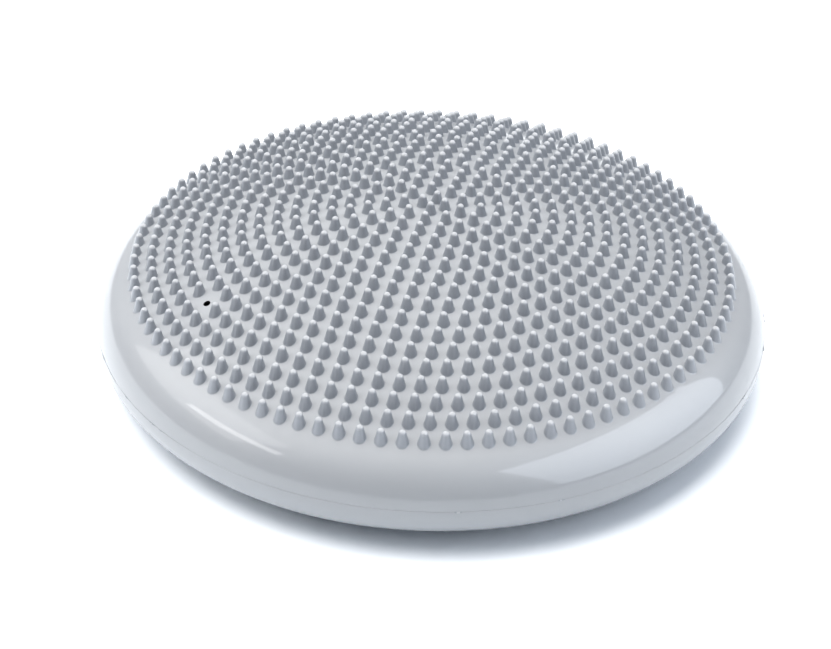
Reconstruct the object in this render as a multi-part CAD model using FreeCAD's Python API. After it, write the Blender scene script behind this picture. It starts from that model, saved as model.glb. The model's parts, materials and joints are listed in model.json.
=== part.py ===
import FreeCAD, Part
import math
import os

# Inflatable balance disc: an air-filled cushion of soft PVC that a person stands, kneels or sits on.
# Millimetres, +Z up. The origin is the centre of the standing face, on the floor.
# The skin is one turned profile, cut into four zones where the moulding changes character: the studded
# crown, the smooth shoulder down to the parting seam, the lower wall, and the flat that stands on the floor.

# ---- driving dimensions ----
disc_dia = 340.0            # over the widest circle
girth_height = 26.0         # floor to the widest circle
crown_height = 61.4         # widest circle to the top of the dome, without studs
seam_rise = 3.6             # the parting seam lies a little above the widest circle
shoulder_radius = 28.5      # outer roll from the widest circle up to the dome
lower_roll_radius = 15.5    # outer roll from the widest circle down
smooth_shoulder = 14.8      # from the widest circle in to the studded crown, seen from above
base_setback = 28.0         # from the widest circle in to the edge of the base panel
standing_setback = 52.0     # from the widest circle in to the flat that touches the floor
skin = 3.0                  # wall of the whole cushion
zone_gap = 0.3              # between zones that tilt against each other

stud_height = 6.6           # above the skin, along the disc's axis, the way the mould opens
stud_base_dia = 6.2
stud_tip_radius = 1.8
first_ring_radius = 5.7     # innermost ring of studs
ring_pitch = 9.02           # from one ring to the next
stud_spacing = 9.86         # from stud to stud along a ring, to the nearest whole stud
ring_start_deg = 254.0      # every ring has a stud at this azimuth
edge_margin = 1.8           # plain skin between the last ring's feet and the studded crown's edge

valve_ring = 13             # the ring whose stud makes way for the needle hole
valve_slot = -10            # which stud of that ring, counted from the ring's start
needle_hole_dia = 3.0
housing_flange_dia = 22.0
housing_flange = 1.6        # thickness of the bonded flange
housing_body_dia = 13.0
housing_length = 14.0       # below the skin's inner face
housing_mouth = 3.0         # length of the needle hole inside the housing
core_dia = 8.0
core_length = 9.0
core_slit_dia = 0.8         # the self-sealing channel, closed by the rubber around it
overrun = 6.0               # how far a cutting tool runs past the face it cuts

# ---- derived dimensions ----
disc_r = disc_dia / 2.0
panel_r = disc_r - smooth_shoulder
base_r = disc_r - base_setback
standing_r = disc_r - standing_setback
shoulder_c = FreeCAD.Vector(disc_r - shoulder_radius, 0, girth_height)
lower_c = FreeCAD.Vector(disc_r - lower_roll_radius, 0, girth_height)

# the dome is the sphere that reaches the crown height and runs smoothly into the shoulder roll
dome_radius = (shoulder_c.x ** 2 + crown_height ** 2 - shoulder_radius ** 2) / (
    2.0 * (crown_height - shoulder_radius))
dome_c = FreeCAD.Vector(0, 0, girth_height + crown_height - dome_radius)

# the belly is the arc that runs smoothly from the lower roll into the standing flat
belly_run = lower_c.x - standing_r
belly_radius = (belly_run ** 2 + girth_height ** 2 - lower_roll_radius ** 2) / (
    2.0 * (girth_height - lower_roll_radius))
belly_c = FreeCAD.Vector(standing_r, 0, belly_radius)


# ---- the turned profile ----
def polar(centre, radius, angle):
    """Point of the XZ plane at this angle from +X, counted towards +Z."""
    return centre + FreeCAD.Vector(radius * math.cos(angle), 0, radius * math.sin(angle))


def arc(centre, radius, start, end):
    middle = polar(centre, radius, (start + end) / 2.0)
    return Part.Arc(polar(centre, radius, start), middle, polar(centre, radius, end)).toShape()


def line(start, end):
    return Part.makeLine(start, end)


def angle_at(centre, radius, r, side):
    """Angle on an arc where its distance from the disc's axis is r, above (+1) or below (-1) the centre."""
    return side * math.acos((r - centre.x) / radius)


dome_end = math.atan2(shoulder_c.z - dome_c.z, shoulder_c.x - dome_c.x)
dome_end_r = dome_radius * math.cos(dome_end)
roll_end = math.atan2(lower_c.z - belly_c.z, lower_c.x - belly_c.x)
panel_edge = angle_at(shoulder_c, shoulder_radius, panel_r, 1)
base_edge = angle_at(belly_c, belly_radius, base_r, -1)
seam = math.asin(seam_rise / shoulder_radius)

# rings of studs from the middle out, as many as stay inside the studded crown
studded_r = panel_r - edge_margin - stud_base_dia / 2.0
ring_total = 1 + int((studded_r - first_ring_radius) / ring_pitch)
ring_radii = [first_ring_radius + ring_pitch * ring for ring in range(ring_total)]


def turned(edges):
    """Solid of revolution about the disc's axis from a closed run of edges in the XZ plane."""
    face = Part.Face(Part.Wire(edges))
    return face.revolve(FreeCAD.Vector(0, 0, 0), FreeCAD.Vector(0, 0, 1), 360)


def dome_cap(rim_r):
    """The middle of the crown, out to rim_r."""
    column = Part.makeCylinder(rim_r, dome_radius, dome_c)
    return level_ball(dome_radius).common(column).cut(level_ball(dome_radius - skin))


def crown_edge(rim_r):
    """The rest of the crown: from rim_r down the dome and over the start of the shoulder."""
    inner_r = dome_radius - skin
    inner_roll = shoulder_radius - skin
    outer_start = angle_at(dome_c, dome_radius, rim_r, 1)
    inner_start = angle_at(dome_c, inner_r, rim_r, 1)
    return turned([
        arc(dome_c, dome_radius, outer_start, dome_end),
        arc(shoulder_c, shoulder_radius, dome_end, panel_edge),
        line(polar(shoulder_c, shoulder_radius, panel_edge), polar(shoulder_c, inner_roll, panel_edge)),
        arc(shoulder_c, inner_roll, panel_edge, dome_end),
        arc(dome_c, inner_r, dome_end, inner_start),
        line(polar(dome_c, inner_r, inner_start), polar(dome_c, dome_radius, outer_start))])


def upper_wall():
    """The smooth shoulder, from the studded crown down to the seam."""
    start = panel_edge - zone_gap / shoulder_radius
    inner_roll = shoulder_radius - skin
    return turned([
        arc(shoulder_c, shoulder_radius, start, seam),
        line(polar(shoulder_c, shoulder_radius, seam), polar(shoulder_c, inner_roll, seam)),
        arc(shoulder_c, inner_roll, seam, start),
        line(polar(shoulder_c, inner_roll, start), polar(shoulder_c, shoulder_radius, start))])


def lower_wall():
    """From the seam over the widest circle and in under the disc, to the edge of the base panel."""
    end = base_edge + zone_gap / belly_radius
    inner_upper = shoulder_radius - skin
    inner_lower = lower_roll_radius - skin
    inner_belly = belly_radius - skin
    return turned([
        arc(shoulder_c, shoulder_radius, seam, 0),
        arc(lower_c, lower_roll_radius, 0, roll_end),
        arc(belly_c, belly_radius, roll_end, end),
        line(polar(belly_c, belly_radius, end), polar(belly_c, inner_belly, end)),
        arc(belly_c, inner_belly, end, roll_end),
        arc(lower_c, inner_lower, roll_end, 0),
        arc(shoulder_c, inner_upper, 0, seam),
        line(polar(shoulder_c, inner_upper, seam), polar(shoulder_c, shoulder_radius, seam))])


def base_panel():
    """The flat that stands on the floor, with its upturned edge."""
    bottom = -math.pi / 2.0
    inner_belly = belly_radius - skin
    return turned([
        line(FreeCAD.Vector(0, 0, 0), FreeCAD.Vector(standing_r, 0, 0)),
        arc(belly_c, belly_radius, bottom, base_edge),
        line(polar(belly_c, belly_radius, base_edge), polar(belly_c, inner_belly, base_edge)),
        arc(belly_c, inner_belly, base_edge, bottom),
        line(FreeCAD.Vector(standing_r, 0, skin), FreeCAD.Vector(0, 0, skin)),
        line(FreeCAD.Vector(0, 0, skin), FreeCAD.Vector(0, 0, 0))])


# ---- studs ----
def stud():
    """One round-nosed cone on +Z, as wide as its base at z = 0 and widening on down through the skin."""
    foot_r = stud_base_dia / 2.0
    nose_z = stud_height - stud_tip_radius
    reach = math.hypot(foot_r, nose_z)
    lean = math.atan2(nose_z, -foot_r) - math.asin(stud_tip_radius / reach) - math.pi / 2.0
    nose_c = FreeCAD.Vector(0, 0, nose_z)
    root = FreeCAD.Vector(0, 0, -skin)
    foot = FreeCAD.Vector(foot_r + skin * math.tan(lean), 0, -skin)
    return turned([
        line(root, foot),
        line(foot, polar(nose_c, stud_tip_radius, lean)),
        arc(nose_c, stud_tip_radius, lean, math.pi / 2.0),
        line(polar(nose_c, stud_tip_radius, math.pi / 2.0), root)])


def on_crown(r, azimuth_deg):
    """Point of the crown's outer face and the outward normal there."""
    if r < dome_end_r:
        centre, radius = dome_c, dome_radius
    else:
        centre, radius = shoulder_c, shoulder_radius
    angle = angle_at(centre, radius, r, 1)
    turn = FreeCAD.Rotation(FreeCAD.Vector(0, 0, 1), azimuth_deg)
    return turn.multVec(polar(centre, radius, angle)), turn.multVec(polar(FreeCAD.Vector(), 1.0, angle))


def ring_count(r):
    return round(2.0 * math.pi * r / stud_spacing)


def valve_place():
    """Placement on the spot of the stud that makes way for the needle hole, +Z out of the skin."""
    r = ring_radii[valve_ring]
    foot, normal = on_crown(r, ring_start_deg + valve_slot * 360.0 / ring_count(r))
    return FreeCAD.Placement(foot, FreeCAD.Rotation(FreeCAD.Vector(0, 0, 1), normal))


def level_ball(radius):
    """Ball on the dome's centre whose poles lie level, clear of the studs."""
    ball = Part.makeSphere(radius)
    ball.Placement = FreeCAD.Placement(dome_c, FreeCAD.Rotation(FreeCAD.Vector(0, 1, 0), 90))
    return ball


def ring_of_studs(ring):
    """One ring of upright studs, trimmed half way through the skin so that none shows inside."""
    r = ring_radii[ring]
    count = ring_count(r)
    first = stud()
    first.translate(on_crown(r, 0)[0])
    first = first.cut(level_ball(dome_radius - skin / 2.0)).Solids[0]
    studs = []
    for slot in range(count):
        if ring == valve_ring and slot == valve_slot % count:
            continue
        copy = first.copy()
        copy.rotate(FreeCAD.Vector(), FreeCAD.Vector(0, 0, 1), ring_start_deg + slot * 360.0 / count)
        studs.append(copy)
    return studs


def stud_panel():
    """The studded crown: dome and studs in one moulding, with the needle hole through it."""
    last_cap_ring = int((dome_end_r - first_ring_radius) / ring_pitch - 0.5)
    rim_r = first_ring_radius + ring_pitch * (last_cap_ring + 0.5)
    cap_studs = []
    edge_studs = []
    for ring in range(ring_total):
        side = cap_studs if ring <= last_cap_ring else edge_studs
        side.extend(ring_of_studs(ring))
    print("studs", len(cap_studs) + len(edge_studs), "in", ring_total, "rings")
    cap = dome_cap(rim_r).fuse(cap_studs)
    edge = crown_edge(rim_r).fuse(edge_studs)
    needle_hole = rod(needle_hole_dia, overrun, skin + 2.0 * overrun)
    return cap.fuse(edge).cut(set_in_skin(needle_hole))


# ---- valve, on +Z with z = 0 at the skin's outer face, then set in place ----
def set_in_skin(shape):
    shape.Placement = valve_place().multiply(shape.Placement)
    return shape


def rod(dia, top, length):
    return Part.makeCylinder(dia / 2.0, length, FreeCAD.Vector(0, 0, top - length))


def valve_housing():
    """Flanged tube bonded to the inside of the skin, its top face following the dome."""
    body = rod(housing_body_dia, -skin, housing_length)
    flange = rod(housing_flange_dia, 0.0, skin + housing_flange)
    inside = Part.makeSphere(dome_radius - skin, FreeCAD.Vector(0, 0, -dome_radius))
    housing = body.fuse(flange).common(inside)
    mouth = rod(needle_hole_dia, 0.0, skin + housing_mouth)
    pocket = rod(core_dia, -skin - housing_mouth, core_length)
    outlet = rod(needle_hole_dia, -skin, housing_length + overrun)
    return set_in_skin(housing.cut([mouth, pocket, outlet]))


def valve_core():
    """Rubber plug in the housing's pocket, with its self-sealing needle channel."""
    top = -skin - housing_mouth
    plug = rod(core_dia, top, core_length)
    channel = rod(core_slit_dia, top, core_length)
    return set_in_skin(plug.cut(channel))


parts = {
    "stud_panel": stud_panel(),
    "upper_wall": upper_wall(),
    "lower_wall": lower_wall(),
    "base_panel": base_panel(),
    "valve_housing": valve_housing(),
    "valve_core": valve_core(),
}

os.makedirs("parts", exist_ok=True)
for name, shape in parts.items():
    shape.exportStep("parts/" + name + ".step")
    print(name, len(shape.Solids), "solid", round(shape.Volume / 1000.0, 2), "cm3", "valid", shape.isValid())
hole = valve_place()
print("needle hole at", hole.Base, "outward", hole.Rotation.multVec(FreeCAD.Vector(0, 0, 1)))
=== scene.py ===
import json
import math
import random

import bpy
from mathutils import Matrix, Vector, geometry, noise


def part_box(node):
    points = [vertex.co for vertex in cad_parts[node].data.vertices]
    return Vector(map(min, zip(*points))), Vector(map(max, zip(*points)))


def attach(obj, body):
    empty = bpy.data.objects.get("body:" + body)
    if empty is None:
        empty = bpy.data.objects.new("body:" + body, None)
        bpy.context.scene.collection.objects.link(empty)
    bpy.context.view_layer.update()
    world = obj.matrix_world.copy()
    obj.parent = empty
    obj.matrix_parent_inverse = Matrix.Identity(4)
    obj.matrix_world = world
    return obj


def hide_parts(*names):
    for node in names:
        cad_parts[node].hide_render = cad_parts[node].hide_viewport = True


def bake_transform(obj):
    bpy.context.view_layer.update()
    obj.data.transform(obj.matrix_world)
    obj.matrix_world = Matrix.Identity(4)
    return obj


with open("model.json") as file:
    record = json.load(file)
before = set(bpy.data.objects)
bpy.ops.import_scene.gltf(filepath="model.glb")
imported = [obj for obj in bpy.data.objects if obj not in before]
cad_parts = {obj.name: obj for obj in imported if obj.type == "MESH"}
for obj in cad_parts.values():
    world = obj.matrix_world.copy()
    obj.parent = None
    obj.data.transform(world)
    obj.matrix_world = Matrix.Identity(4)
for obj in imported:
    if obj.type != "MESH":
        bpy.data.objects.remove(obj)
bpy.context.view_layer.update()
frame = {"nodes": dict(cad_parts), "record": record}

# Inflatable balance disc: its soft PVC skin, the needle valve in it, and a white studio.
# Metres, in the frame's own axes: +Z up, the origin on the floor under the disc's centre.

MM = 0.001

# ---- sizes read from the frame ----
upper_low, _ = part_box("upper_wall")
_, lower_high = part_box("lower_wall")
seam_z = upper_low.z
disc_r = lower_high.x
needle = next(m for m in frame["record"]["mounts"] if m["name"] == "inflation_needle")
needle_axis = Vector(needle["axis"])
needle_r = needle["dims"]["r_mm"] * MM

# ---- sizes of the moulding ----
SKIN = 3.0 * MM
GIRTH_Z = 26.0 * MM                 # height of the widest circle
CROWN = 61.4 * MM                   # widest circle to the top of the dome
SHOULDER_R = 28.5 * MM
LOWER_ROLL_R = 15.5 * MM
STANDING_R = 118.0 * MM
FIELD_R = 155.2 * MM                # the studded field ends here and the plain shoulder begins
SEGMENTS = 192                      # round the disc

STUD_H = 6.6 * MM
STUD_FOOT_R = 3.05 * MM
STUD_NOSE_R = 1.8 * MM
STUD_FILLET = 0.4 * MM
STUD_SIDES = 16
RING_FIRST = 5.7 * MM
RING_PITCH = 9.02 * MM
STUD_SPACING = 9.86 * MM
RING_START = math.radians(254.0)
LEAN_SPREAD = 0.012                 # how far a stud's tip strays, as a share of its height
HEIGHT_SPREAD = 0.02                # how far a stud's height strays, as a share of itself
SPIN_SPREAD = 0.4                   # how far a stud's facets are turned, in radians

NUB_H = 0.6 * MM                    # low round nubs under the disc
NUB_R = 2.4 * MM
NUB_SIDES = 12
NUB_PITCH = 13.0 * MM

FLASH_SEGMENTS = 900                # the parting line's thin moulding flash
FLASH_H = 0.22 * MM
FLASH_W = 0.7 * MM
FLASH_WAVES = 9.0                   # how quickly its height wanders round the rim
TORN_TABS = 26
FULL_TAB = 0.4 * MM                 # a tab this tall takes the lightest tint
HOLE_EDGE = 0.35 * MM               # rounding of the needle hole's mouth

CROWN_GRID = 14.0 * MM              # the crown's plain inside: how far apart its mesh's rings are
CROWN_GRID_STEP = 16.0 * MM         # and the points along a ring, which stop this far from the edge
HOLE_CLEAR = 6.0 * MM               # and keep this far from the needle hole
SOLE_GRID = 16.0 * MM               # the standing flat's plain inside: how far apart its rings are
SOLE_GRID_STEP = 18.0 * MM          # and the points along a ring
SOLE_GRID_EDGE = 14.0 * MM          # which stop this far from the edge

FLOOR_HALF = 4.0                    # metres, half the studio floor's side

# ---- the turned profile, as circles in the (distance from axis, height) plane ----
shoulder_c = (disc_r - SHOULDER_R, GIRTH_Z)
lower_c = (disc_r - LOWER_ROLL_R, GIRTH_Z)
dome_r = (shoulder_c[0] ** 2 + CROWN ** 2 - SHOULDER_R ** 2) / (2 * (CROWN - SHOULDER_R))
dome_c = (0.0, GIRTH_Z + CROWN - dome_r)
belly_run = lower_c[0] - STANDING_R
belly_r = (belly_run ** 2 + GIRTH_Z ** 2 - LOWER_ROLL_R ** 2) / (2 * (GIRTH_Z - LOWER_ROLL_R))
belly_c = (STANDING_R, belly_r)
dome_end = math.atan2(shoulder_c[1] - dome_c[1], shoulder_c[0] - dome_c[0])
roll_end = math.atan2(lower_c[1] - belly_c[1], lower_c[0] - belly_c[0])
seam_angle = math.asin((seam_z - GIRTH_Z) / SHOULDER_R)


def arc_points(centre, radius, start, end, count):
    """Points on a profile circle as (r, z, normal r, normal z)."""
    points = []
    for i in range(count):
        angle = start + (end - start) * i / (count - 1)
        c, s = math.cos(angle), math.sin(angle)
        points.append((centre[0] + radius * c, centre[1] + radius * s, c, s))
    return points


def crown_at(x, y, depth=0.0):
    """Point and outward normal of the crown above (x, y), at a depth inside the skin."""
    r = math.hypot(x, y)
    if r < (dome_r - depth) * math.cos(dome_end):
        centre, radius = dome_c, dome_r - depth
    else:
        centre, radius = shoulder_c, SHOULDER_R - depth
    out = (r - centre[0]) / radius
    up = math.sqrt(1.0 - out * out)
    turn = (x / r, y / r) if r > 1e-9 else (1.0, 0.0)
    return Vector((x, y, centre[1] + radius * up)), Vector((turn[0] * out, turn[1] * out, up))


def sole_at(x, y, depth=0.0):
    """Point and outward normal of the standing flat, raised so that its nubs touch the floor."""
    return Vector((x, y, NUB_H + depth)), Vector((0, 0, -1))


# ---- a skin mesh: points with exact normals, joined into a closed wall ----
OUTLINE_OWNER = -1                  # in Skin.field, feet are numbered from 0 up
GRID_OWNER = -2
MESH_TOLERANCE = 1e-7               # metres


class Skin:
    def __init__(self):
        self.points = []
        self.normals = []
        self.height = []        # 0 to 1, for the tint: how far up a stud, which paints shade on its sides and a highlight on its tip, or how torn the flash is
        self.faces = []

    def add(self, point, normal, height=0.0):
        self.points.append(point)
        self.normals.append(normal)
        self.height.append(height)
        return len(self.points) - 1

    def turned_ring(self, profile_point, flip=False):
        r, z, nr, nz = profile_point
        side = -1.0 if flip else 1.0
        ring = []
        for i in range(SEGMENTS):
            a = 2 * math.pi * i / SEGMENTS
            c, s = math.cos(a), math.sin(a)
            normal = Vector((nr * c, nr * s, nz)) * side
            ring.append(self.add(Vector((r * c, r * s, z)), normal))
        return ring

    def bridge(self, upper, lower):
        """Quads between two rings; seen from outside, upper is above lower."""
        n = len(upper)
        for i in range(n):
            j = (i + 1) % n
            self.faces.append((upper[i], lower[i], lower[j], upper[j]))

    def turned(self, first_ring, profile, flip=False):
        """Rings of a turned stretch that carries on from first_ring; returns the last ring."""
        ring = first_ring
        for point in profile:
            following = self.turned_ring(point, flip)
            self.bridge(ring, following)
            ring = following
        return ring

    def field(self, outline, feet, grid, surface, depth=0.0, face_up=True):
        """Triangles of a curved sheet inside the outline ring, open at each foot ring."""
        plan, index, owner, edges = [], [], [], []

        def take(ring, owner_number):
            start = len(plan)
            for k, i in enumerate(ring):
                plan.append(Vector(self.points[i][:2]))
                index.append(i)
                owner.append(owner_number)
                edges.append((start + k, start + (k + 1) % len(ring)))

        take(outline, OUTLINE_OWNER)
        for foot_number, ring in enumerate(feet):
            take(ring, foot_number)
        side = 1.0 if depth == 0.0 else -1.0
        for x, y in grid:
            point, normal = surface(x, y, depth)
            plan.append(Vector((x, y)))
            index.append(self.add(point, normal * side))
            owner.append(GRID_OWNER)
        made = geometry.delaunay_2d_cdt(plan, edges, [], 0, MESH_TOLERANCE)
        origin = [sources[0] for sources in made[3]]
        for face in made[2]:
            corners = [origin[v] for v in face]
            owners = {owner[v] for v in corners}
            if len(owners) == 1 and min(owners) >= 0:
                continue            # this triangle lies inside one foot ring, which stays open
            corners = [index[v] for v in corners]
            self.faces.append(tuple(corners if face_up else reversed(corners)))

    def mesh(self, name):
        mesh = bpy.data.meshes.new(name)
        mesh.from_pydata(self.points, [], self.faces)
        mesh.validate()
        mesh.polygons.foreach_set("use_smooth", [True] * len(mesh.polygons))
        attribute = mesh.attributes.new("painted_stud_shading_and_tab_tint", "FLOAT", "POINT")
        attribute.data.foreach_set("value", self.height)
        mesh.normals_split_custom_set_from_vertices(self.normals)
        mesh.update()
        return mesh


def place(name, mesh, material):
    piece = bpy.data.objects.new(name, mesh)
    bpy.context.scene.collection.objects.link(piece)
    mesh.materials.append(material)
    return piece


# ---- studs: upright round-nosed cones, all parallel, as they leave the mould ----
STUD_NOSE_Z = STUD_H - STUD_NOSE_R
STUD_LEAN = (math.atan2(STUD_NOSE_Z, -STUD_FOOT_R) - math.pi / 2
             - math.asin(STUD_NOSE_R / math.hypot(STUD_FOOT_R, STUD_NOSE_Z)))
STUD_TAPER = math.tan(STUD_LEAN)
NOSE_LEVELS = (0.0, 0.34, 0.68)     # the nose's rings, as shares of the way from its edge to its tip
FILLET_PAINTED_SHADE = 0.03                  # the painted-shading value half way up the fillet, where the stud's painted shade begins
CONE_PAINTED_SHADE = 0.08                    # and where the cone starts, at the darkest painted shade


def raise_stud(skin, x, y, lean, stretch, spin):
    """One stud on the crown, its fillet following the slope; returns its foot ring."""
    foot, _ = crown_at(x, y)
    loops = [[] for _ in range(3 + len(NOSE_LEVELS))]
    for k in range(STUD_SIDES):
        a = spin + 2 * math.pi * k / STUD_SIDES
        c, s = math.cos(a), math.sin(a)
        side = Vector((c * math.cos(STUD_LEAN), s * math.cos(STUD_LEAN), math.sin(STUD_LEAN)))
        base_r = STUD_FOOT_R
        for _ in range(2):
            drop = crown_at(x + c * base_r, y + s * base_r)[0].z - foot.z
            base_r = STUD_FOOT_R - drop * STUD_TAPER
        out_r = base_r + STUD_FILLET
        outer, up = crown_at(x + c * out_r, y + s * out_r)
        corner = Vector((x + c * base_r, y + s * base_r, foot.z + drop))
        above = drop + STUD_FILLET
        inner_r = STUD_FOOT_R - above * STUD_TAPER
        inner = Vector((x + c * inner_r, y + s * inner_r, foot.z + above))
        middle = outer * 0.25 + corner * 0.5 + inner * 0.25
        # the fillet and the cone take darker values: painted shade among the studs
        loops[0].append(skin.add(outer, up, 0.0))
        loops[1].append(skin.add(middle, (up + side).normalized(), FILLET_PAINTED_SHADE))
        loops[2].append(skin.add(inner, side, CONE_PAINTED_SHADE))
        for level, share in enumerate(NOSE_LEVELS):
            angle = STUD_LEAN + share * (math.pi / 2 - STUD_LEAN)
            r = STUD_NOSE_R * math.cos(angle)
            h = (STUD_NOSE_Z + STUD_NOSE_R * math.sin(angle)) * stretch
            point = Vector((x + c * r + lean[0] * h, y + s * r + lean[1] * h, foot.z + h))
            normal = Vector((c * math.cos(angle), s * math.cos(angle), math.sin(angle)))
            # the nose's rings grow lighter towards the tip: a painted highlight
            loops[3 + level].append(skin.add(point, normal, h / STUD_H))
    top = STUD_H * stretch
    tip = skin.add(foot + Vector((lean[0] * top, lean[1] * top, top)), Vector((0, 0, 1)), 1.0)
    for lower, upper in zip(loops, loops[1:]):
        skin.bridge(upper, lower)
    last = loops[-1]
    for k in range(STUD_SIDES):
        skin.faces.append((last[k], last[(k + 1) % STUD_SIDES], tip))
    return loops[0]


# ---- nubs: low round bumps on the standing flat ----
def nub_profile():
    """A nub's rings from foot to tip, as (radius, height, normal outwards, normal along the nub)."""
    rings = []
    ball = (NUB_R ** 2 + NUB_H ** 2) / (2 * NUB_H)
    for share in (1.0, 0.66, 0.33):
        angle = math.asin(NUB_R / ball) * share
        height = NUB_H - ball * (1 - math.cos(angle))
        rings.append((ball * math.sin(angle), height, math.sin(angle), math.cos(angle)))
    return rings


def raise_nub(skin, profile, x, y):
    """One nub under the standing flat; returns its foot ring."""
    foot, down = sole_at(x, y)
    loops = []
    for r, h, out, rise in profile:
        loop = []
        for k in range(NUB_SIDES):
            a = -2 * math.pi * k / NUB_SIDES
            spoke = Vector((math.cos(a), math.sin(a), 0.0))
            normal = (spoke * out + down * rise).normalized()
            loop.append(skin.add(foot + spoke * r + down * h, normal))
        loops.append(loop)
    tip = skin.add(foot + down * NUB_H, down)
    for lower, upper in zip(loops, loops[1:]):
        skin.bridge(upper, lower)
    last = loops[-1]
    for k in range(NUB_SIDES):
        skin.faces.append((last[k], last[(k + 1) % NUB_SIDES], tip))
    return loops[0]


def ring_layout(first, pitch, spacing, limit, start):
    """Plan positions in rings, with a start azimuth shared by all rings."""
    spots = []
    r = first
    while r <= limit:
        count = round(2 * math.pi * r / spacing)
        for slot in range(count):
            a = start + 2 * math.pi * slot / count
            spots.append((r * math.cos(a), r * math.sin(a)))
        r += pitch
    return spots


def needle_spot():
    """Where the needle's axis meets the crown's outer face."""
    at = Vector(needle["pos_m"])
    for _ in range(6):
        surface, _ = crown_at(at.x, at.y)
        at += needle_axis * ((surface - at).dot(needle_axis))
    return at


def hole_ring(skin, centre, radius, depth, outward, up):
    """A ring round the needle's axis, its normals given as parts outward and up that axis."""
    along = needle_axis.orthogonal().normalized()
    across = needle_axis.cross(along)
    ring = []
    for k in range(STUD_SIDES):
        a = 2 * math.pi * k / STUD_SIDES
        spoke = along * math.cos(a) + across * math.sin(a)
        normal = (spoke * outward + needle_axis * up).normalized()
        ring.append(skin.add(centre + spoke * radius - needle_axis * depth, normal))
    return ring


# ---- the two mouldings ----
def make_top_skin():
    """Crown and shoulder down to the seam: studded outside, plain inside, with the needle hole."""
    skin = Skin()
    rng = random.Random(7)
    hole = needle_spot()
    feet = []
    for x, y in ring_layout(RING_FIRST, RING_PITCH, STUD_SPACING, FIELD_R - STUD_FOOT_R, RING_START):
        if math.hypot(x - hole.x, y - hole.y) < STUD_FOOT_R:
            continue
        lean = (rng.gauss(0, LEAN_SPREAD), rng.gauss(0, LEAN_SPREAD))
        stretch = 1.0 + rng.uniform(-HEIGHT_SPREAD, HEIGHT_SPREAD)
        spin = rng.uniform(0, SPIN_SPREAD)
        feet.append(raise_stud(skin, x, y, lean, stretch, spin))

    bevel = HOLE_EDGE * 0.3         # how far the rounded mouth's middle ring lies in and down
    mouth = hole_ring(skin, hole, needle_r + HOLE_EDGE, 0.0, 0.0, 1.0)
    lip = hole_ring(skin, hole, needle_r + bevel, bevel, -0.7, 0.7)
    throat = hole_ring(skin, hole, needle_r, HOLE_EDGE, -1.0, 0.0)
    outlet = hole_ring(skin, hole, needle_r, SKIN, -1.0, 0.0)
    for outer, inner in ((mouth, lip), (lip, throat), (throat, outlet)):
        skin.bridge(outer, inner)

    start = math.acos((FIELD_R - shoulder_c[0]) / SHOULDER_R)
    outer = arc_points(shoulder_c, SHOULDER_R, start, seam_angle, 22)
    outline = skin.turned_ring(outer[0])
    skin.field(outline, feet + [mouth], [], crown_at)
    edge = skin.turned(outline, outer[1:])

    inner = arc_points(shoulder_c, SHOULDER_R - SKIN, seam_angle, start, 12)
    inside = skin.turned(edge, inner, flip=True)
    grid = ring_layout(CROWN_GRID, CROWN_GRID, CROWN_GRID_STEP, FIELD_R - CROWN_GRID_STEP, 0.3)
    grid = [(x, y) for x, y in grid if math.hypot(x - hole.x, y - hole.y) > HOLE_CLEAR]
    skin.field(inside, [outlet], grid, crown_at, depth=SKIN, face_up=False)
    return skin.mesh("top_skin")


def make_bottom_skin():
    """From the seam over the widest circle, in under the disc, to the standing flat with its nubs."""
    skin = Skin()
    outer = arc_points(shoulder_c, SHOULDER_R, seam_angle, 0.0, 4)
    outer += arc_points(lower_c, LOWER_ROLL_R, 0.0, roll_end, 18)[1:]
    outer += arc_points(belly_c, belly_r - NUB_H, roll_end, -math.pi / 2, 14)[1:]
    top = skin.turned_ring(outer[0])
    outline = skin.turned(top, outer[1:])
    profile = nub_profile()
    feet = []
    spots = ring_layout(NUB_PITCH, NUB_PITCH, NUB_PITCH, STANDING_R - NUB_R, 0.0)
    for x, y in [(0.0, 0.0)] + spots:
        feet.append(raise_nub(skin, profile, x, y))
    skin.field(outline, feet, [], sole_at, face_up=False)

    inner = arc_points(belly_c, belly_r - SKIN, -math.pi / 2, roll_end, 10)
    inner += arc_points(lower_c, LOWER_ROLL_R - SKIN, roll_end, 0.0, 12)[1:]
    inner += arc_points(shoulder_c, SHOULDER_R - SKIN, 0.0, seam_angle, 4)[1:]
    inside = skin.turned_ring(inner[0], flip=True)
    grid = ring_layout(SOLE_GRID, SOLE_GRID, SOLE_GRID_STEP, STANDING_R - SOLE_GRID_EDGE, 0.0)
    skin.field(inside, [], grid, sole_at, depth=SKIN, face_up=True)
    rim = skin.turned(inside, inner[1:], flip=True)
    skin.bridge(rim, top)
    return skin.mesh("bottom_skin")


# the flash's section, as shares of its width across the seam and of its height out from it
FLASH_SECTION = ((-0.5, -0.3), (-0.2, 0.75), (0.0, 1.0), (0.2, 0.75), (0.5, -0.3), (0.0, -1.0))


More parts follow.
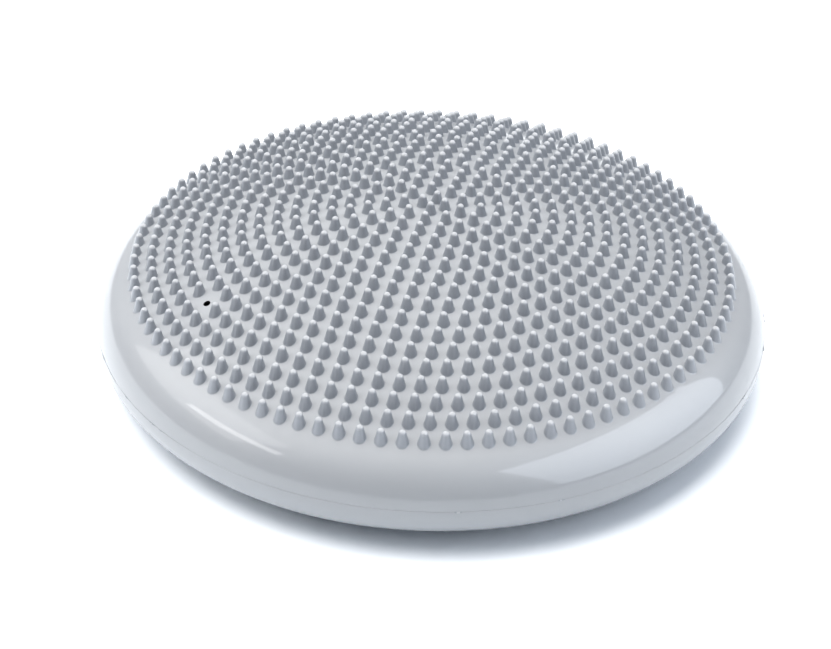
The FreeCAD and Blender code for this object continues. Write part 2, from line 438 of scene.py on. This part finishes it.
def make_parting_flash():
    """The thin ridge that the mould's joint leaves round the rim, uneven, with some torn tabs."""
    rng = random.Random(21)
    tabs = []
    for _ in range(TORN_TABS):
        azimuth = rng.uniform(0, 2 * math.pi)
        half_width = rng.uniform(0.003, 0.011)      # radians
        tabs.append((azimuth, half_width, rng.uniform(0.3, 0.7) * MM))
    skin = Skin()
    r = shoulder_c[0] + SHOULDER_R * math.cos(seam_angle)
    rings = []
    for i in range(FLASH_SEGMENTS):
        a = 2 * math.pi * i / FLASH_SEGMENTS
        c, s = math.cos(a), math.sin(a)
        tall = FLASH_H * (0.6 + 0.5 * noise.noise(Vector((c, s, 0.0)) * FLASH_WAVES))
        torn = 0.0
        for middle, half, extra in tabs:
            away = abs((a - middle + math.pi) % (2 * math.pi) - math.pi) / half
            if away < 1.0:
                torn = max(torn, (1.0 - away ** 4) * extra)
        tint = min(1.0, torn / FULL_TAB)
        ring = []
        for across, out in FLASH_SECTION:
            reach = r + (tall + torn) * out if out > 0 else r + FLASH_H * out
            height = seam_z + FLASH_W * across
            normal = Vector((c * out, s * out, across)).normalized()
            ring.append(skin.add(Vector((reach * c, reach * s, height)), normal, tint))
        rings.append(ring)
    for ring, following in zip(rings, rings[1:] + rings[:1]):
        skin.bridge(ring, following)
    return skin.mesh("parting_flash")


# ---- materials ----
def shader(name):
    material = bpy.data.materials.new(name)
    material.use_nodes = True
    nodes, links = material.node_tree.nodes, material.node_tree.links
    return material, nodes, links, nodes["Principled BSDF"]


def noise_node(nodes, links, coordinates, scale, detail):
    """Noise in the piece's own coordinates; scale is about how many blotches go to a metre."""
    node = nodes.new("ShaderNodeTexNoise")
    node.inputs["Scale"].default_value = scale
    node.inputs["Detail"].default_value = detail
    node.inputs["Roughness"].default_value = 0.5
    links.new(coordinates.outputs["Object"], node.inputs["Vector"])
    return node


def ramp_node(nodes, links, value, stops):
    """A colour ramp of (position, linear colour) stops, driven by value."""
    node = nodes.new("ShaderNodeValToRGB")
    ramp = node.color_ramp
    while len(ramp.elements) < len(stops):
        ramp.elements.new(0.5)
    for element, (position, colour) in zip(ramp.elements, stops):
        element.position = position
        element.color = (*colour, 1.0)
    links.new(value, node.inputs["Fac"])
    return node


def bump_node(nodes, links, height, strength, distance, previous=None):
    """A bump of the given depth in metres, laid over the previous one where there is one."""
    node = nodes.new("ShaderNodeBump")
    node.inputs["Strength"].default_value = strength
    node.inputs["Distance"].default_value = distance
    links.new(height, node.inputs["Height"])
    if previous is not None:
        links.new(previous.outputs["Normal"], node.inputs["Normal"])
    return node


def pvc_material():
    """Silver-grey soft PVC: satin under a clear gloss, with slack swells and a fine moulded grain; its
    colour carries painted shade on the stud sides and a painted highlight on the stud tips.
    """
    material, nodes, links, principled = shader("silver_pvc")
    coordinates = nodes.new("ShaderNodeTexCoord")
    painted_stud_shading_and_tab_tint = nodes.new("ShaderNodeAttribute")
    painted_stud_shading_and_tab_tint.attribute_name = "painted_stud_shading_and_tab_tint"
    # Painted shade and highlight: the stud sides are darker than the skin between them and the noses
    # lighter towards the tip, standing in for the shade among the studs and the light on their tips;
    # torn flash tabs take the lighter colours too.
    tone = ramp_node(nodes, links, painted_stud_shading_and_tab_tint.outputs["Fac"], [
        (0.0, (0.234, 0.245, 0.260)), (0.08, (0.190, 0.206, 0.232)), (0.72, (0.200, 0.216, 0.241)),
        (0.93, (0.31, 0.322, 0.340))])
    cloud = noise_node(nodes, links, coordinates, 22.0, 3.0)
    mottle = ramp_node(nodes, links, cloud.outputs["Fac"], [
        (0.3, (0.96, 0.96, 0.965)), (0.7, (1.0, 1.0, 1.0))])
    mix = nodes.new("ShaderNodeMix")
    mix.data_type = "RGBA"
    mix.blend_type = "MULTIPLY"
    mix.inputs["Factor"].default_value = 1.0
    links.new(tone.outputs["Color"], mix.inputs["A"])
    links.new(mottle.outputs["Color"], mix.inputs["B"])
    links.new(mix.outputs["Result"], principled.inputs["Base Color"])
    swell = noise_node(nodes, links, coordinates, 26.0, 2.0)
    grain = noise_node(nodes, links, coordinates, 1400.0, 2.0)
    broad = bump_node(nodes, links, swell.outputs["Fac"], 0.5, 0.0012)
    fine = bump_node(nodes, links, grain.outputs["Fac"], 0.2, 0.00008, broad)
    links.new(fine.outputs["Normal"], principled.inputs["Normal"])
    principled.inputs["Roughness"].default_value = 0.45
    principled.inputs["Specular IOR Level"].default_value = 0.4
    principled.inputs["Coat Weight"].default_value = 0.6
    principled.inputs["Coat Roughness"].default_value = 0.05
    return material


def dark_material(name, colour, roughness):
    """Matt black valve plastic or rubber, with a fine moulded grain."""
    material, nodes, links, principled = shader(name)
    coordinates = nodes.new("ShaderNodeTexCoord")
    grain = noise_node(nodes, links, coordinates, 900.0, 3.0)
    lighter = tuple(c * 1.6 for c in colour)
    tone = ramp_node(nodes, links, grain.outputs["Fac"], [(0.35, colour), (0.7, lighter)])
    links.new(tone.outputs["Color"], principled.inputs["Base Color"])
    bump = bump_node(nodes, links, grain.outputs["Fac"], 0.3, 0.0001)
    links.new(bump.outputs["Normal"], principled.inputs["Normal"])
    principled.inputs["Roughness"].default_value = roughness
    return material


def paint_node(name, material):
    """Give a node carried over from the frame its material."""
    data = frame["nodes"][name].data
    data.materials.clear()
    data.materials.append(material)


# ---- the studio ----
def make_floor():
    """A plain pale floor, only faintly mottled."""
    material, nodes, links, principled = shader("white_floor")
    coordinates = nodes.new("ShaderNodeTexCoord")
    grain = noise_node(nodes, links, coordinates, 30.0, 2.0)
    tone = ramp_node(nodes, links, grain.outputs["Fac"], [
        (0.3, (0.86, 0.9, 0.945)), (0.7, (0.875, 0.915, 0.96))])
    links.new(tone.outputs["Color"], principled.inputs["Base Color"])
    principled.inputs["Roughness"].default_value = 0.9
    principled.inputs["Specular IOR Level"].default_value = 0.1
    mesh = bpy.data.meshes.new("floor")
    half = FLOOR_HALF
    corners = [(-half, -half, 0), (half, -half, 0), (half, half, 0), (-half, half, 0)]
    mesh.from_pydata(corners, [], [(0, 1, 2, 3)])
    floor = place("floor", mesh, material)


DISC_MIDDLE = Vector((0, 0, 0.05))


def aim(thing, target):
    """Turn a light so that it faces the target."""
    direction = target - thing.location
    thing.rotation_euler = direction.to_track_quat("-Z", "Y").to_euler()


def softbox(name, location, width, height, power, colour=(1, 1, 1)):
    """An area light of the given size in metres and power in watts, turned to the disc's middle."""
    data = bpy.data.lights.new(name, "AREA")
    data.shape = "RECTANGLE"
    data.size = width
    data.size_y = height
    data.energy = power
    data.color = colour
    lamp = bpy.data.objects.new(name, data)
    bpy.context.scene.collection.objects.link(lamp)
    lamp.location = location
    aim(lamp, DISC_MIDDLE)
    return lamp


def make_lights():
    """A broad warm overhead, a cool window and a fill on the right, a card and a strip on the left."""
    overhead = softbox("overhead", (-0.2, 0.2, 1.5), 2.3, 1.7, 69.0, (1.0, 0.972, 0.93))
    overhead.visible_glossy = False
    softbox("left_card", (-1.15, 0.0, 0.95), 1.4, 0.8, 8.5)
    window = softbox("right_window", (1.5, -0.5, 0.92), 2.5, 1.7, 62.0, (0.86, 0.92, 1.0))
    window.visible_diffuse = False
    fill = softbox("right_fill", (1.5, -0.5, 1.0), 2.5, 1.5, 15.0, (0.88, 0.93, 1.0))
    fill.visible_glossy = False
    softbox("left_strip", (-1.3, -0.5, 0.95), 1.0, 0.17, 3.5)


BACK_SHARE = 0.3                    # how much the room's paleness grows towards the back


def make_room():
    """A dim room, paler overhead and towards the back."""
    world = bpy.data.worlds.new("studio")
    bpy.context.scene.world = world
    world.use_nodes = True
    nodes, links = world.node_tree.nodes, world.node_tree.links
    coordinates = nodes.new("ShaderNodeTexCoord")
    split = nodes.new("ShaderNodeSeparateXYZ")
    links.new(coordinates.outputs["Generated"], split.inputs["Vector"])
    lift = nodes.new("ShaderNodeMath")
    lift.operation = "MULTIPLY_ADD"
    lift.inputs[1].default_value = BACK_SHARE
    links.new(split.outputs["Y"], lift.inputs[0])
    links.new(split.outputs["Z"], lift.inputs[2])
    height = ramp_node(nodes, links, lift.outputs["Value"], [
        (0.0, (0.035, 0.04, 0.05)), (0.3, (0.17, 0.185, 0.215)), (0.8, (0.66, 0.69, 0.74))])
    links.new(height.outputs["Color"], nodes["Background"].inputs["Color"])
    nodes["Background"].inputs["Strength"].default_value = 1.0


CAMERA_ELEVATION = math.radians(34.1)
CAMERA_ROLL = math.radians(1.33)
CAMERA_DISTANCE = 1.2               # metres
CAMERA_LENS = 101.35                # millimetres, on a sensor 36 mm wide
CAMERA_SHIFT_LEFT = 7.88 * MM
CAMERA_SHIFT_DOWN = 7.5 * MM


def make_camera():
    """A long lens from the front, well above the disc, a little rolled."""
    forward = Vector((0, math.cos(CAMERA_ELEVATION), -math.sin(CAMERA_ELEVATION)))
    side = Vector((1, 0, 0))
    up = side.cross(forward)
    right = side * math.cos(CAMERA_ROLL) + up * math.sin(CAMERA_ROLL)
    above = up * math.cos(CAMERA_ROLL) - side * math.sin(CAMERA_ROLL)
    centre = Vector((0, 0, GIRTH_Z))
    location = (centre - forward * CAMERA_DISTANCE
                - right * CAMERA_SHIFT_LEFT - above * CAMERA_SHIFT_DOWN)
    data = bpy.data.cameras.new("camera")
    data.sensor_width = 36.0
    data.lens = CAMERA_LENS
    camera = bpy.data.objects.new("camera", data)
    turn = Matrix((right, above, -forward)).transposed().to_4x4()
    camera.matrix_world = Matrix.Translation(location) @ turn
    bpy.context.scene.collection.objects.link(camera)
    bpy.context.scene.camera = camera
    bpy.context.scene.view_settings.view_transform = "Standard"


# ---- assembly ----
def main():
    pvc = pvc_material()
    top_skin = place("top_skin", make_top_skin(), pvc)
    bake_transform(top_skin)
    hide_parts("stud_panel", "upper_wall")

    bottom_skin = place("bottom_skin", make_bottom_skin(), pvc)
    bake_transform(bottom_skin)
    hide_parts("lower_wall", "base_panel")

    flash = place("parting_flash", make_parting_flash(), pvc)
    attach(flash, "rim")

    paint_node("valve_housing", dark_material("valve_plastic", (0.02, 0.02, 0.022), 0.5))
    paint_node("valve_core", dark_material("valve_rubber", (0.008, 0.008, 0.008), 0.7))

    make_floor()
    make_lights()
    make_room()
    make_camera()


main()
